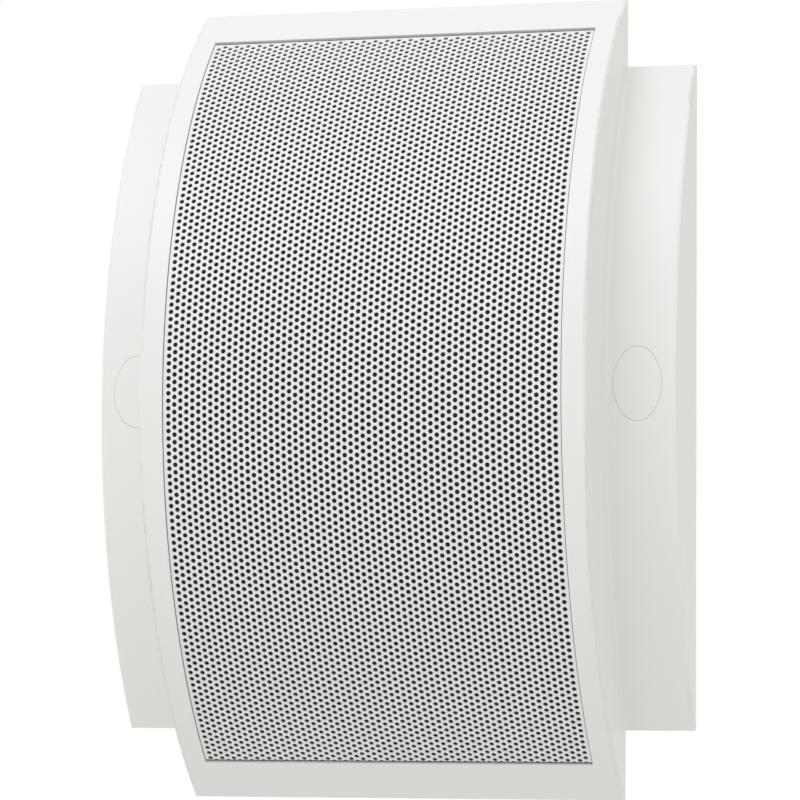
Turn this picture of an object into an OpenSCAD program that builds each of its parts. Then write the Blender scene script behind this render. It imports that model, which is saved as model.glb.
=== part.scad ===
// Wall loudspeaker with a curved front, two side ears and a perforated metal grille.
// Each part is drawn lying on its back: X across, Y up the wall, Z out from the wall.
// hang() then stands it up, with the wall plane at Y = 0 and the front towards -Y.

/* [Front moulding] */
// Width of the curved frame
frame_w = 151; // [148:1:160]
// Height of the curved frame
frame_h = 274; // [270:1:284]
// Depth of the frame at mid height, from the wall
frame_d = 72; // [71:0.5:76]
// Thickness of the frame where it meets the wall at its top and bottom
frame_edge = 1.8; // [1.5:0.1:2.2]
// Wall of the moulding
wall = 2.5; // [2.2:0.1:2.8]
// Rounding of the outer front edges
edge_r = 1.2; // [0.6:0.1:1.6]
// Width of each side band beside the grille
side_band = 8; // [7.5:0.1:9]
// Length of the top band, along the curve
top_band = 19.7; // [17:0.1:21]
// Length of the bottom band, along the curve
bottom_band = 18.5; // [17:0.1:20]
// Thickness of the curved baffle behind the grille
baffle_t = 2.3; // [2:0.1:2.8]

/* [Ears] */
// Width of each ear beside the frame
ear_w = 24; // [23:0.5:28]
// Height of the ears
ear_h = 227; // [215:1:240]
// Depth of the ears at mid height, from the wall
ear_d = 40; // [38:0.5:44]
// Thickness of the ears at their top and bottom
ear_edge = 1.5; // [1.2:0.1:2]
// Fillet between an ear and the frame's side
ear_fillet = 1.5; // [1:0.1:2.5]
// Width of the oval plug over a wall screw
plug_w = 16.4; // [16:0.1:18]
// Height of the oval plug
plug_h = 24.6; // [24:0.1:28]
// Shift of the plug from the ear's middle towards the frame
plug_shift = 1; // [0:0.1:1.5]
// Thickness of the plug's face
plug_t = 2.5; // [2:0.1:3]
// Hairline gap round the plug
plug_gap = 0.1; // [0.1:0.05:0.3]
// Depth of the plug's skirt inside its pocket
plug_skirt = 7; // [5:0.5:10]
// Floor of the screw pocket, against the wall
pocket_floor = 3; // [2:0.5:4]
// Hole for the wall screw
wall_hole_d = 5; // [4:0.5:6]

/* [Grille] */
// How far the grille lies below the frame's front
grille_recess = 0.4; // [0.3:0.1:0.8]
// Sheet thickness of the grille
grille_t = 0.5; // [0.5:0.1:0.8]
// Gap beside the grille at each side
grille_side_gap = 0.3; // [0.2:0.05:0.4]
// Gap above and below the grille
grille_end_gap = 0.9; // [0.6:0.1:1.2]
// Thickness of the black cloth behind the grille
cloth_t = 0.4; // [0.4:0.1:0.8]
// Distance between neighbouring holes
hole_pitch = 19; // [19:0.5:24]
// Hole size as a share of their distance
hole_share = 0.56; // [0.4:0.02:0.6]
// Plain margin at the grille's ends and sides, from the nearest hole centre
hole_margin = 9; // [8:0.5:12]

/* [Loudspeaker driver] */
// Diameter of the paper cone
cone_d = 96; // [94:1:97]
// Width of the driver's rim outside the cone
rim_w = 17; // [16:0.5:17.5]
// Depth of the driver's seat, from the wall
driver_seat = 50; // [49:0.5:51]
// Thickness of the floor that the driver sits on
seat_t = 3; // [2.5:0.5:4]
// Distance of the driver's screws from the rim's edge
screw_edge = 4.25; // [4:0.25:5]
// Sheet thickness of the pressed basket
basket_t = 1.2; // [1:0.1:1.4]
// Foam gasket under the flange
gasket_t = 1; // [0.8:0.1:1.5]
// Diameter of the ferrite magnet
magnet_d = 70; // [60:1:74]
// Thickness of the ferrite magnet
magnet_t = 9; // [8:0.5:10]
// Thickness of the top plate
top_plate_t = 4; // [3:0.5:4.5]
// Thickness of the yoke's plate
yoke_t = 3; // [2.5:0.5:4]
// Diameter of the yoke's pole
pole_d = 19.2; // [18.8:0.1:19.4]
// Inner diameter of the voice coil's former
former_d = 20.2; // [20:0.1:20.4]
// Wall of the former
former_t = 0.3; // [0.2:0.05:0.4]
// Height of the winding above the former
winding_t = 0.4; // [0.3:0.05:0.5]
// Gap between the winding and the top plate
coil_gap = 0.3; // [0.25:0.05:0.5]
// Thickness of the paper cone
cone_t = 0.7; // [0.5:0.1:0.9]
// Diameter of the dust cap
cap_d = 30; // [26:1:34]
// Thickness of the rubber surround
surround_t = 0.5; // [0.4:0.1:0.7]

/* [Rear] */
// Thickness of the rear panel
panel_t = 3; // [2.5:0.5:3.5]
// Clearance round the rear panel
panel_gap = 0.3; // [0.2:0.1:0.5]
// Diameter of the screw posts
post_d = 8; // [7:0.5:9]
// Pilot hole for the fixing screws
pilot_d = 3; // [2.8:0.1:3.2]
// Width of the terminal tray in the rear panel
tray_w = 52; // [46:1:56]
// Height of the terminal tray
tray_h = 34; // [32:1:36]
// Depth of the terminal tray
tray_d = 16; // [15:0.5:17]
// Wall of the terminal tray
tray_wall = 2; // [1.8:0.1:2.2]
// Distance of the tray's centre from the moulding's bottom
tray_room = 45; // [43:1:47]
// Diameter of the rubber grommet's hole
grommet_d = 8; // [7:0.5:9]

/* [Line transformer] */
// Width of the laminated core
core_w = 41; // [38:1:44]
// Height of the laminated core
core_h = 34; // [32:1:36]
// Thickness of the stack
core_t = 15; // [13:0.5:16]
// Distance of the transformer's centre from the moulding's top
transformer_room = 47; // [45:1:49]
// Height of the bosses that carry the transformer
boss_h = 4; // [3.5:0.5:5]

/* [Hidden] */

arc_fn = 360;
round_fn = 96;
small_fn = 48;
cut = 1;
slack = 0.05;
snug = 0.3;

// The radius of an arc from its half length and its rise
function arc_radius(half, rise) = (half * half + rise * rise) / (2 * rise);
// The height of an arc's inner side above the wall, at a distance up the wall
function arc_height(radius, centre, up) = sqrt(radius * radius - up * up) - centre;

frame_r = arc_radius(frame_h / 2, frame_d - frame_edge);
frame_c = frame_r - frame_d;
ear_r = arc_radius(ear_h / 2, ear_d - ear_edge);
ear_c = ear_r - ear_d;
full_w = frame_w + 2 * ear_w;
arc_reach = 70;

opening_w = frame_w - 2 * side_band;
opening_angle = asin(frame_h / 2 / frame_r) - (top_band + bottom_band) / 2 / frame_r * 180 / PI;
opening_lean = (top_band - bottom_band) / 2 / frame_r * 180 / PI;
rebate = grille_recess + grille_t + cloth_t;
floor_r = frame_r - rebate;
inner_r = floor_r - baffle_t;

plug_x = frame_w / 2 + ear_w / 2 - plug_shift;
plug_end_r = 0.74 * plug_w / 2;
pocket_step = 1.5;
pocket_wall = 1.6;
skirt_t = 1.2;

sheet_r = frame_r - grille_recess;
sheet_w = opening_w - 2 * grille_side_gap;
sheet_angle = opening_angle - grille_end_gap / sheet_r * 180 / PI;
hole_d = hole_pitch * hole_share;
column_step = hole_pitch * sin(60);
columns = floor((sheet_w - 2 * hole_margin) / column_step) + 1;
row_angle = hole_pitch / sheet_r * 180 / PI;
hole_turn = 40;
row_room = 2 * sheet_angle - 2 * hole_margin / sheet_r * 180 / PI;
rows = floor(row_room / row_angle - 0.5) + 1;

well_gap = 1.2;
driver_d = cone_d + 2 * rim_w;
driver_pcd = driver_d - 2 * screw_edge;
well_r = driver_d / 2 + well_gap;
well_wall = 2.2;
surround_w = 6;
seat_step = 2.5;
flange_in_r = cone_d / 2 + surround_w;
seat_hole_r = flange_in_r + seat_step;
seat_boss_d = 7;
seat_boss_h = 8;

flange_z = driver_seat + gasket_t;
flange_top = flange_z + basket_t;
ledge_z = driver_seat - 18.8;
ledge_in_r = 27;
ledge_out_r = 33;
bottom_z = driver_seat - 23.8;
bottom_r = 25.5;
top_plate_z = bottom_z - basket_t - top_plate_t;
top_plate_r = 30;
magnet_z = top_plate_z - magnet_t;
magnet_hole_r = 13;
yoke_z = magnet_z - yoke_t;
pole_top = bottom_z - basket_t + 0.7;
former_r = former_d / 2 + former_t;
winding_r = former_r + winding_t;
gap_r = winding_r + coil_gap;
former_top = driver_seat - 13.2;
former_bottom = magnet_z + 5;
winding_h = 8;
winding_z = top_plate_z + top_plate_t / 2 - winding_h / 2;
cone_back_z = driver_seat - 15;
cone_edge_z = driver_seat - 2;
cone_slope = (cone_edge_z - cone_back_z) / (cone_d / 2 - former_r);
cap_z = cone_back_z + cone_t + cone_slope * (cap_d / 2 - former_r);
cap_ball_r = 18;
roll_in_r = cone_d / 2 + 0.4;
roll_out_r = flange_in_r + 0.6;
lip_w = 2.4;
spider_t = 0.5;
spider_pitch = 4;
spider_waves = 4;

tab_w = 16;
tab_end = 45;
strip_t = 1.5;
strip_w = 18;
strip_from = 37;
strip_to = 52;
tag_t = 0.5;
tag_w = 3;
tag_from = 40;
tag_to = 58;
tag_x = 5.5;

rim_r = frame_r - wall;
panel_w = frame_w - 2 * wall - 2 * panel_gap;
panel_h = 2 * sqrt(rim_r * rim_r - pow(frame_c + panel_t, 2)) - 2 * panel_gap;
post_x = frame_w / 2 - wall - post_d / 2 - 1.5;
post_room = 19;
post_end = frame_h / 2 - post_room;
post_step = 40;
post_rows = [-post_end, post_step - post_end, post_end - post_step, post_end];
post_pilot = 11;
screw_head_r = 3.1;
csk_t = 1.8;
rear_screw_l = 12;

block_w = 24;
block_h = 16;
block_t = 12;
pole_step = 10;
wire_hole_d = 3.6;
clamp_d = 5.4;
clamp_screw_d = 3;
block_screw_x = block_w / 2 + 3.5;
block_ear_t = 3;

grommet_lip = 1.8;
grommet_groove = 1;
grommet_bore_d = grommet_d - 2 * grommet_groove;
grommet_z = panel_t + 6.5;
tray_drop = frame_h / 2 - tray_room;
tray_top = -tray_drop + tray_h / 2;

transformer_rise = frame_h / 2 - transformer_room;
core_z = panel_t + boss_h;
leg_w = 12;
window_w = (core_w - leg_w) / 2 - 6.5;
window_h = core_h - 13;
coil_over = 3.3;
coil_gap_side = 0.3;
bracket_t = 1;
foot_w = 10;
foot_h = 12;
foot_x = core_w / 2 + bracket_t + foot_w / 2;
trafo_boss_d = 7;

wire_d = 1.8;
wire_fn = 8;

shell_white = [0.93, 0.93, 0.91];
grille_white = [0.9, 0.9, 0.89];
steel = [0.72, 0.73, 0.75];
dark_steel = [0.4, 0.4, 0.42];
brass = [0.8, 0.66, 0.35];
black = [0.08, 0.08, 0.09];
ferrite = [0.22, 0.22, 0.24];
tan = [0.72, 0.58, 0.38];

module hang() {
    rotate([90, 0, 0]) children();
}

module both_sides() {
    children();
    mirror([1, 0, 0]) children();
}

// Turns a profile of radius and width about an axis along X that lies behind the wall
module arc_turn(centre, half_angle) {
    translate([0, 0, -centre])
        rotate([0, 90, 0])
            rotate([0, 0, 180 - half_angle])
                rotate_extrude(angle = 2 * half_angle, $fn = arc_fn)
                    children();
}

// Moves the opening, its baffle and its grille down the curve, as the top band is the longer one
module lean() {
    translate([0, 0, -frame_c]) rotate([opening_lean, 0, 0]) translate([0, 0, frame_c]) children();
}

// Keeps what lies in front of the wall and within a height
module in_front(height) {
    intersection() {
        children();
        translate([-full_w, -height / 2, 0]) cube([2 * full_w, height, 2 * frame_d]);
    }
}

// A profile whose outer corners are rounded
module rounded_profile(r_in, r_out, x_from, x_to, round_from, round_to) {
    low = x_from + round_from;
    high = x_to - round_to;
    translate([r_in, x_from]) square([r_out - edge_r - r_in, x_to - x_from]);
    translate([r_in, low]) square([r_out - r_in, high - low]);
    if (round_from > 0) translate([r_out - round_from, low]) circle(r = round_from, $fn = small_fn);
    if (round_to > 0) translate([r_out - round_to, high]) circle(r = round_to, $fn = small_fn);
}

// An oval of two end arcs and two side arcs that meet smoothly
module oval(half_w, half_h, end_r) {
    end_y = half_h - end_r;
    side_r = (half_w * half_w + end_y * end_y - end_r * end_r) / (2 * (half_w - end_r));
    meet = end_y * side_r / (side_r - end_r);
    intersection() {
        translate([half_w - side_r, 0]) circle(r = side_r, $fn = arc_fn);
        translate([side_r - half_w, 0]) circle(r = side_r, $fn = arc_fn);
        translate([-half_w, -meet]) square([2 * half_w, 2 * meet]);
    }
    for (s = [-1, 1])
        translate([0, s * end_y]) circle(r = end_r, $fn = round_fn);
}

// The plug's oval, grown or shrunk by the same amount all round
module plug_oval(grow) {
    oval(plug_w / 2 + grow, plug_h / 2 + grow, plug_end_r + grow);
}

module frame_solid() {
    in_front(frame_h)
        arc_turn(frame_c, arc_reach)
            rounded_profile(frame_c - 5, frame_r, -frame_w / 2, frame_w / 2, edge_r, edge_r);
}

module ear_solid() {
    in_front(ear_h)
        arc_turn(ear_c, arc_reach) {
            rounded_profile(ear_c - 5, ear_r, frame_w / 2 - wall, full_w / 2, 0, edge_r);
            difference() {
                translate([ear_r - edge_r, frame_w / 2 - wall])
                    square([edge_r + ear_fillet, wall + ear_fillet]);
                translate([ear_r + ear_fillet, frame_w / 2 + ear_fillet])
                    circle(r = ear_fillet, $fn = small_fn);
            }
        }
}

module ear_hollow() {
    arc_turn(ear_c, arc_reach)
        translate([ear_c - 10, frame_w / 2])
            square([ear_r - wall - ear_c + 10, ear_w - wall]);
}

// The tube behind an ear's oval plug, with its floor against the wall
module screw_pocket() {
    intersection() {
        ear_solid();
        translate([plug_x, 0, 0])
            linear_extrude(height = frame_d) plug_oval(pocket_wall);
    }
}

module screw_pocket_hole() {
    translate([plug_x, 0, pocket_floor])
        linear_extrude(height = ear_d) plug_oval(-pocket_step);
    translate([plug_x, 0, ear_d - plug_t])
        linear_extrude(height = ear_d) plug_oval(plug_gap);
    translate([plug_x, 0, -cut]) cylinder(d = wall_hole_d, h = ear_d, $fn = small_fn);
}

// The curved baffle behind the grille, a little larger than the opening
module baffle_skin() {
    lean() arc_turn(frame_c, opening_angle + wall / frame_r * 180 / PI)
        translate([inner_r, -opening_w / 2 - wall])
            square([rebate + baffle_t - edge_r, opening_w + 2 * wall]);
}

module driver_well() {
    intersection() {
        translate([0, 0, driver_seat - seat_t])
            cylinder(r = well_r + well_wall, h = frame_d, $fn = 2 * round_fn);
        arc_turn(frame_c, arc_reach)
            translate([0, -frame_w / 2]) square([floor_r, frame_w]);
    }
    for (a = [45:90:315])
        rotate([0, 0, a])
            translate([driver_pcd / 2, 0, driver_seat - seat_t - seat_boss_h])
                cylinder(d = seat_boss_d, h = seat_boss_h + cut, $fn = small_fn);
}

module driver_well_hole() {
    translate([0, 0, driver_seat]) cylinder(r = well_r, h = frame_d, $fn = 2 * round_fn);
    cylinder(r = seat_hole_r, h = frame_d, $fn = 2 * round_fn);
    for (a = [45:90:315])
        rotate([0, 0, a])
            translate([driver_pcd / 2, 0, driver_seat - seat_t - seat_boss_h + 1])
                cylinder(d = pilot_d, h = frame_d, $fn = small_fn);
}

module screw_posts() {
    intersection() {
        for (y = post_rows)
            both_sides()
                translate([post_x, y, panel_t]) cylinder(d = post_d, h = frame_d, $fn = small_fn);
        arc_turn(frame_c, arc_reach)
            translate([0, -frame_w / 2]) square([inner_r + baffle_t / 2, frame_w]);
    }
}

module screw_post_holes() {
    for (y = post_rows)
        both_sides()
            translate([post_x, y, panel_t - cut])
                cylinder(d = pilot_d, h = post_pilot + cut, $fn = small_fn);
}

module front_housing() {
    color(shell_white) hang() difference() {
        union() {
            difference() {
                union() {
                    frame_solid();
                    both_sides() ear_solid();
                }
                arc_turn(frame_c, arc_reach)
                    translate([frame_c - 10, -frame_w / 2 + wall])
                        square([frame_r - wall - frame_c + 10, frame_w - 2 * wall]);
                both_sides() ear_hollow();
                lean() arc_turn(frame_c, opening_angle)
                    translate([floor_r - wall, -opening_w / 2]) square([frame_r, opening_w]);
            }
            difference() {
                baffle_skin();
                lean() arc_turn(frame_c, opening_angle)
                    translate([floor_r, -opening_w / 2]) square([frame_r, opening_w]);
            }
            driver_well();
            screw_posts();
            both_sides() screw_pocket();
        }
        driver_well_hole();
        screw_post_holes();
        both_sides() screw_pocket_hole();
    }
}

// The thin sheet lies on the cloth, held in the frame's rebate by its own spring
module grille() {
    color(grille_white) hang() lean() difference() {
        arc_turn(frame_c, sheet_angle)
            translate([sheet_r - grille_t, -sheet_w / 2]) square([grille_t, sheet_w]);
        grille_holes();
    }
}

// Staggered columns of round holes, drilled square to the curve
module grille_holes() {
    for (column = [0:columns - 1])
        for (row = [0:rows - 1]) {
            across = (column - (columns - 1) / 2) * column_step;
            turn = (row - (rows - 1) / 2 + (column % 2 == 0 ? -0.25 : 0.25)) * row_angle;
            translate([across, 0, -frame_c])
                rotate([turn, 0, 0])
                    translate([0, 0, floor_r - cut])
                        rotate([0, 0, hole_turn]) cylinder(d = hole_d, h = 2 * wall, $fn = 24);
        }
}

// The cloth fills the rebate, so that the gap round the sheet shows black
module grille_cloth() {
    color(black) hang() lean()
        arc_turn(frame_c, opening_angle - slack / floor_r * 180 / PI)
            translate([floor_r + slack, slack - opening_w / 2])
                square([cloth_t - 2 * slack, opening_w - 2 * slack]);
}

module screw_plug() {
    intersection() {
        ear_solid();
        translate([plug_x, 0, ear_d - plug_t]) linear_extrude(height = plug_t + cut) plug_oval(0);
    }
    translate([plug_x, 0, ear_d - plug_t - plug_skirt])
        linear_extrude(height = plug_skirt + slack) difference() {
            plug_oval(-pocket_step - plug_gap);
            plug_oval(-pocket_step - plug_gap - skirt_t);
        }
}

module screw_plug_left() {
    color(shell_white) hang() mirror([1, 0, 0]) screw_plug();
}

module screw_plug_right() {
    color(shell_white) hang() screw_plug();
}

// A self-tapping screw with a low round head, its head's underside at zero
module pan_screw(length) {
    cylinder(r = screw_head_r, h = 1.4, $fn = small_fn);
    translate([0, 0, 1.4]) cylinder(r1 = screw_head_r, r2 = screw_head_r - 1, h = 0.8, $fn = small_fn);
    translate([0, 0, -length]) cylinder(d = pilot_d - 2 * slack, h = length, $fn = small_fn);
}

module at_driver_screws(height) {
    for (a = [45:90:315])
        rotate([0, 0, a]) translate([driver_pcd / 2, 0, height]) children();
}

module driver_gasket() {
    color(black) hang() difference() {
        translate([0, 0, driver_seat]) cylinder(d = driver_d, h = gasket_t, $fn = 2 * round_fn);
        cylinder(r = seat_hole_r + 0.5, h = frame_d, $fn = 2 * round_fn);
        at_driver_screws(driver_seat - cut) cylinder(d = pilot_d + 1, h = 2 * cut + gasket_t, $fn = small_fn);
    }
}

// The pressed basket: flange, cone-shaped wall with four windows, ledge and bottom
module driver_basket() {
    wall_top_r = flange_in_r - 1.5;
    wall_top_z = driver_seat - 4;
    color(dark_steel) hang() difference() {
        union() {
            rotate_extrude($fn = 2 * round_fn)
                polygon([
                    [driver_d / 2, flange_z], [driver_d / 2, flange_top],
                    [flange_in_r, flange_top], [wall_top_r, wall_top_z],
                    [ledge_out_r, ledge_z], [ledge_in_r, ledge_z],
                    [bottom_r, bottom_z], [gap_r + 1, bottom_z],
                    [gap_r + 1, bottom_z - basket_t], [bottom_r + basket_t, bottom_z - basket_t],
                    [ledge_in_r + basket_t, ledge_z - basket_t],
                    [ledge_out_r + basket_t, ledge_z - basket_t],
                    [wall_top_r + basket_t, wall_top_z - basket_t / 2],
                    [flange_in_r + basket_t, flange_z]
                ]);
            translate([-tab_w / 2, ledge_out_r - cut, ledge_z - basket_t])
                cube([tab_w, tab_end - ledge_out_r + cut, basket_t]);
        }
        for (a = [60:90:330])
            rotate([0, 0, a])
                rotate_extrude(angle = 60, $fn = round_fn)
                    translate([ledge_out_r + 1, ledge_z + 0.01])
                        square([driver_d / 2, wall_top_z - ledge_z - 2]);
        at_driver_screws(driver_seat) cylinder(d = pilot_d + 1.2, h = frame_d, $fn = small_fn);
    }
}

module driver_screws() {
    color(steel) hang() at_driver_screws(flange_top) pan_screw(10);
}

// A half roll of rubber between the cone's edge and the flange
module cone_surround() {
    lip_z = cone_edge_z + cone_t;
    mid_r = (roll_in_r + roll_out_r) / 2;
    roll_r = (roll_out_r - roll_in_r) / 2;
    color(black) hang() rotate_extrude($fn = 2 * round_fn) {
        translate([cone_d / 2 - lip_w, lip_z]) square([lip_w + 0.4 + surround_t, surround_t]);
        translate([roll_in_r, lip_z]) square([surround_t, flange_top - lip_z + surround_t]);
        intersection() {
            translate([mid_r, flange_top]) difference() {
                circle(r = roll_r, $fn = small_fn);
                circle(r = roll_r - surround_t, $fn = small_fn);
            }
            translate([roll_in_r, flange_top]) square([2 * roll_r, 2 * roll_r]);
        }
        translate([roll_out_r - surround_t, flange_top]) square([lip_w + surround_t, surround_t]);
    }
}

module cone() {
    color(black) hang() rotate_extrude($fn = 2 * round_fn)
        polygon([
            [former_r, cone_back_z], [cone_d / 2, cone_edge_z],
            [cone_d / 2, cone_edge_z + cone_t], [former_r, cone_back_z + cone_t]
        ]);
}

module dust_cap() {
    ball_z = cap_z - sqrt(cap_ball_r * cap_ball_r - cap_d * cap_d / 4);
    color(black) hang() intersection() {
        translate([0, 0, ball_z]) difference() {
            sphere(r = cap_ball_r, $fn = round_fn);
            sphere(r = cap_ball_r - 0.6, $fn = round_fn);
        }
        translate([0, 0, cap_z]) cylinder(r = cap_ball_r, h = cap_ball_r, $fn = round_fn);
    }
}

module voice_coil() {
    color(brass) hang() difference() {
        union() {
            translate([0, 0, former_bottom])
                cylinder(r = former_r, h = former_top - former_bottom, $fn = round_fn);
            translate([0, 0, winding_z]) cylinder(r = winding_r, h = winding_h, $fn = round_fn);
        }
        cylinder(d = former_d, h = frame_d, $fn = round_fn);
    }
}

// A corrugated cloth ring that centres the voice coil
module spider() {
    start = former_r + 1;
    plane_z = ledge_z + spider_pitch / 4 + spider_t / 2;
    end = start + spider_waves * spider_pitch;
    color(tan) hang() rotate_extrude($fn = round_fn) {
        translate([former_r, plane_z - spider_t / 2]) square([1.3, spider_t]);
        for (k = [0:spider_waves - 1])
            translate([start + (k + 0.5) * spider_pitch, plane_z])
                intersection() {
                    difference() {
                        circle(d = spider_pitch + spider_t, $fn = small_fn);
                        circle(d = spider_pitch - spider_t, $fn = small_fn);
                    }
                    translate([-spider_pitch, k % 2 == 1 ? 0 : -spider_pitch])
                        square([2 * spider_pitch, spider_pitch]);
                }
        translate([end - 0.3, ledge_z])
            square([spider_t + 0.3, plane_z - ledge_z + spider_t / 2]);
        translate([end, ledge_z]) square([ledge_out_r - 1 - end, spider_t]);
    }
}

module top_plate() {
    color(steel) hang() difference() {
        translate([0, 0, top_plate_z]) cylinder(r = top_plate_r, h = top_plate_t, $fn = round_fn);
        cylinder(r = gap_r, h = frame_d, $fn = round_fn);
    }
}

module magnet() {
    color(ferrite) hang() difference() {
        translate([0, 0, magnet_z]) cylinder(d = magnet_d, h = magnet_t, $fn = 2 * round_fn);
        cylinder(r = magnet_hole_r, h = frame_d, $fn = round_fn);
    }
}

module yoke() {
    color(steel) hang() {
        translate([0, 0, yoke_z]) cylinder(r = top_plate_r, h = yoke_t, $fn = round_fn);
        translate([0, 0, magnet_z]) cylinder(d = pole_d, h = pole_top - magnet_z, $fn = round_fn);
    }
}

module tag_strip() {
    color(tan) hang()
        translate([-strip_w / 2, strip_from, ledge_z])
            cube([strip_w, strip_to - strip_from, strip_t]);
}

module solder_tags() {
    color(brass) hang()
        for (x = [-tag_x, tag_x])
            difference() {
                translate([x - tag_w / 2, tag_from, ledge_z + strip_t])
                    cube([tag_w, tag_to - tag_from, tag_t]);
                translate([x, tag_to - 2, ledge_z]) cylinder(d = 1.2, h = 5, $fn = 24);
            }
}

// A point on a smooth curve through four points
function curve_point(a, b, c, d, t) =
    0.5 * (2 * b + (c - a) * t + (2 * a - 5 * b + 4 * c - d) * t * t
        + (3 * b - a - 3 * c + d) * t * t * t);

// A smooth curve through a list of points
function curve(points, steps) = [
    for (i = [0:len(points) - 2])
        for (k = [0:steps - 1])
            curve_point(points[max(i - 1, 0)], points[i], points[i + 1],
                points[min(i + 2, len(points) - 1)], k / steps),
    points[len(points) - 1]
];

function unit(v) = v / norm(v);

// A round wire along a list of points
module wire(route, d) {
    last = len(route) - 1;
    rings = [
        for (i = [0:last]) let (
            along = unit(route[min(i + 1, last)] - route[max(i - 1, 0)]),
            side = unit(cross(along, [0.31, 0.17, 0.93])),
            over = cross(along, side)
        )
            for (k = [0:wire_fn - 1])
                route[i] + d / 2 * (cos(360 * k / wire_fn) * side + sin(360 * k / wire_fn) * over)
    ];
    walls = [
        for (i = [0:last - 1])
            for (k = [0:wire_fn - 1]) let (n = (k + 1) % wire_fn)
                [i * wire_fn + k, i * wire_fn + n, (i + 1) * wire_fn + n, (i + 1) * wire_fn + k]
    ];
    start = [for (k = [wire_fn - 1:-1:0]) k];
    end = [for (k = [0:wire_fn - 1]) last * wire_fn + k];
    polyhedron(points = rings, faces = concat([start], walls, [end]), convexity = 4);
}

// Two braided leads from the cone's back to the solder tags
module tinsel_leads() {
    lead_d = 1;
    cone_y = 27;
    cone_under = cone_back_z + cone_slope * (cone_y - former_r) - lead_d / 2 - 0.2;
    tag_top = ledge_z + strip_t + tag_t + lead_d / 2;
    color(brass) hang() both_sides()
        wire(curve([
            [tag_x, cone_y, cone_under],
            [tag_x + 1, cone_y + 4, cone_under - 2.5],
            [tag_x + 1, cone_y + 9, cone_under - 3],
            [tag_x, cone_y + 14, tag_top + 1],
            [tag_x, cone_y + 18, tag_top]
        ], 4), lead_d);
}

module rear_panel() {
    tray_y = -tray_drop - tray_h / 2;
    color(shell_white) hang() difference() {
        union() {
            translate([-panel_w / 2, -panel_h / 2, 0]) cube([panel_w, panel_h, panel_t]);
            translate([-tray_w / 2 - tray_wall, tray_y - tray_wall, 0])
                cube([tray_w + 2 * tray_wall, tray_h + 2 * tray_wall, tray_d + tray_wall]);
            for (x = [-foot_x, foot_x])
                translate([x, transformer_rise, 0])
                    cylinder(d = trafo_boss_d, h = core_z, $fn = small_fn);
        }
        translate([-tray_w / 2, tray_y, -cut]) cube([tray_w, tray_h, tray_d + cut]);
        for (y = post_rows)
            both_sides() translate([post_x, y, 0]) {
                translate([0, 0, -cut]) cylinder(d = pilot_d + 0.6, h = 2 * panel_t, $fn = small_fn);
                cylinder(r1 = screw_head_r + slack, r2 = pilot_d / 2, h = csk_t, $fn = small_fn);
            }
        for (x = [-foot_x, foot_x])
            translate([x, transformer_rise, 1]) cylinder(d = pilot_d, h = core_z, $fn = small_fn);
        for (x = [-block_screw_x, block_screw_x])
            translate([x, -tray_drop, 0]) cylinder(d = pilot_d, h = frame_d, $fn = small_fn);
        translate([0, tray_top - cut, grommet_z])
            rotate([-90, 0, 0]) cylinder(d = grommet_d, h = tray_wall + 2 * cut, $fn = small_fn);
    }
}

module rear_screws() {
    color(steel) hang()
        for (y = post_rows)
            both_sides() translate([post_x, y, 0]) {
                cylinder(r1 = screw_head_r, r2 = pilot_d / 2 - slack, h = csk_t, $fn = small_fn);
                cylinder(d = pilot_d - 2 * slack, h = rear_screw_l, $fn = small_fn);
            }
}

// A moulded block of two screw clamps that stands on the tray's floor
module terminal_block() {
    color(tan) hang() translate([0, -tray_drop, tray_d]) difference() {
        union() {
            translate([-block_w / 2, -block_h / 2, -block_t]) cube([block_w, block_h, block_t]);
            translate([-block_screw_x - 3.5, -4, -block_ear_t])
                cube([2 * block_screw_x + 7, 8, block_ear_t]);
        }
        for (x = [-pole_step / 2, pole_step / 2])
            translate([x, 0, 0]) {
                translate([0, 0, -block_t - cut])
                    cylinder(d = clamp_screw_d + 0.6, h = block_t / 2, $fn = small_fn);
                translate([0, -block_h, -block_t / 2 + 1])
                    rotate([-90, 0, 0]) cylinder(d = wire_hole_d, h = 2 * block_h, $fn = small_fn);
                translate([0, -block_h / 2 + 2, -block_t / 2 + 1])
                    rotate([-90, 0, 0]) cylinder(d = clamp_d + 2 * slack, h = block_h - 4, $fn = small_fn);
            }
        for (x = [-block_screw_x, block_screw_x])
            translate([x, 0, -block_t]) cylinder(d = pilot_d + 0.6, h = 2 * block_t, $fn = small_fn);
    }
}

module terminal_clamps() {
    color(brass) hang() translate([0, -tray_drop, tray_d - block_t / 2 + 1])
        for (x = [-pole_step / 2, pole_step / 2])
            difference() {
                translate([x, -block_h / 2 + 2 + slack, 0])
                    rotate([-90, 0, 0]) cylinder(d = clamp_d, h = block_h - 4 - 2 * slack, $fn = small_fn);
                translate([x, -block_h, 0])
                    rotate([-90, 0, 0]) cylinder(d = wire_d + 1.2, h = 2 * block_h, $fn = small_fn);
                translate([x, 0, -clamp_d])
                    cylinder(d = clamp_screw_d + 2 * slack, h = clamp_d, $fn = small_fn);
            }
}

module terminal_screws() {
    color(steel) hang() translate([0, -tray_drop, tray_d - block_t])
        for (x = [-pole_step / 2, pole_step / 2])
            translate([x, 0, 1]) difference() {
                cylinder(d = clamp_screw_d, h = (block_t - wire_d) / 2 - slack, $fn = small_fn);
                translate([-clamp_screw_d, -0.3, -cut]) cube([2 * clamp_screw_d, 0.6, cut + 0.8]);
            }
}

module block_screws() {
    color(steel) hang()
        for (x = [-block_screw_x, block_screw_x])
            translate([x, -tray_drop, tray_d - block_ear_t]) mirror([0, 0, 1])
                pan_screw(block_ear_t + tray_wall + 2);
}

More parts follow.
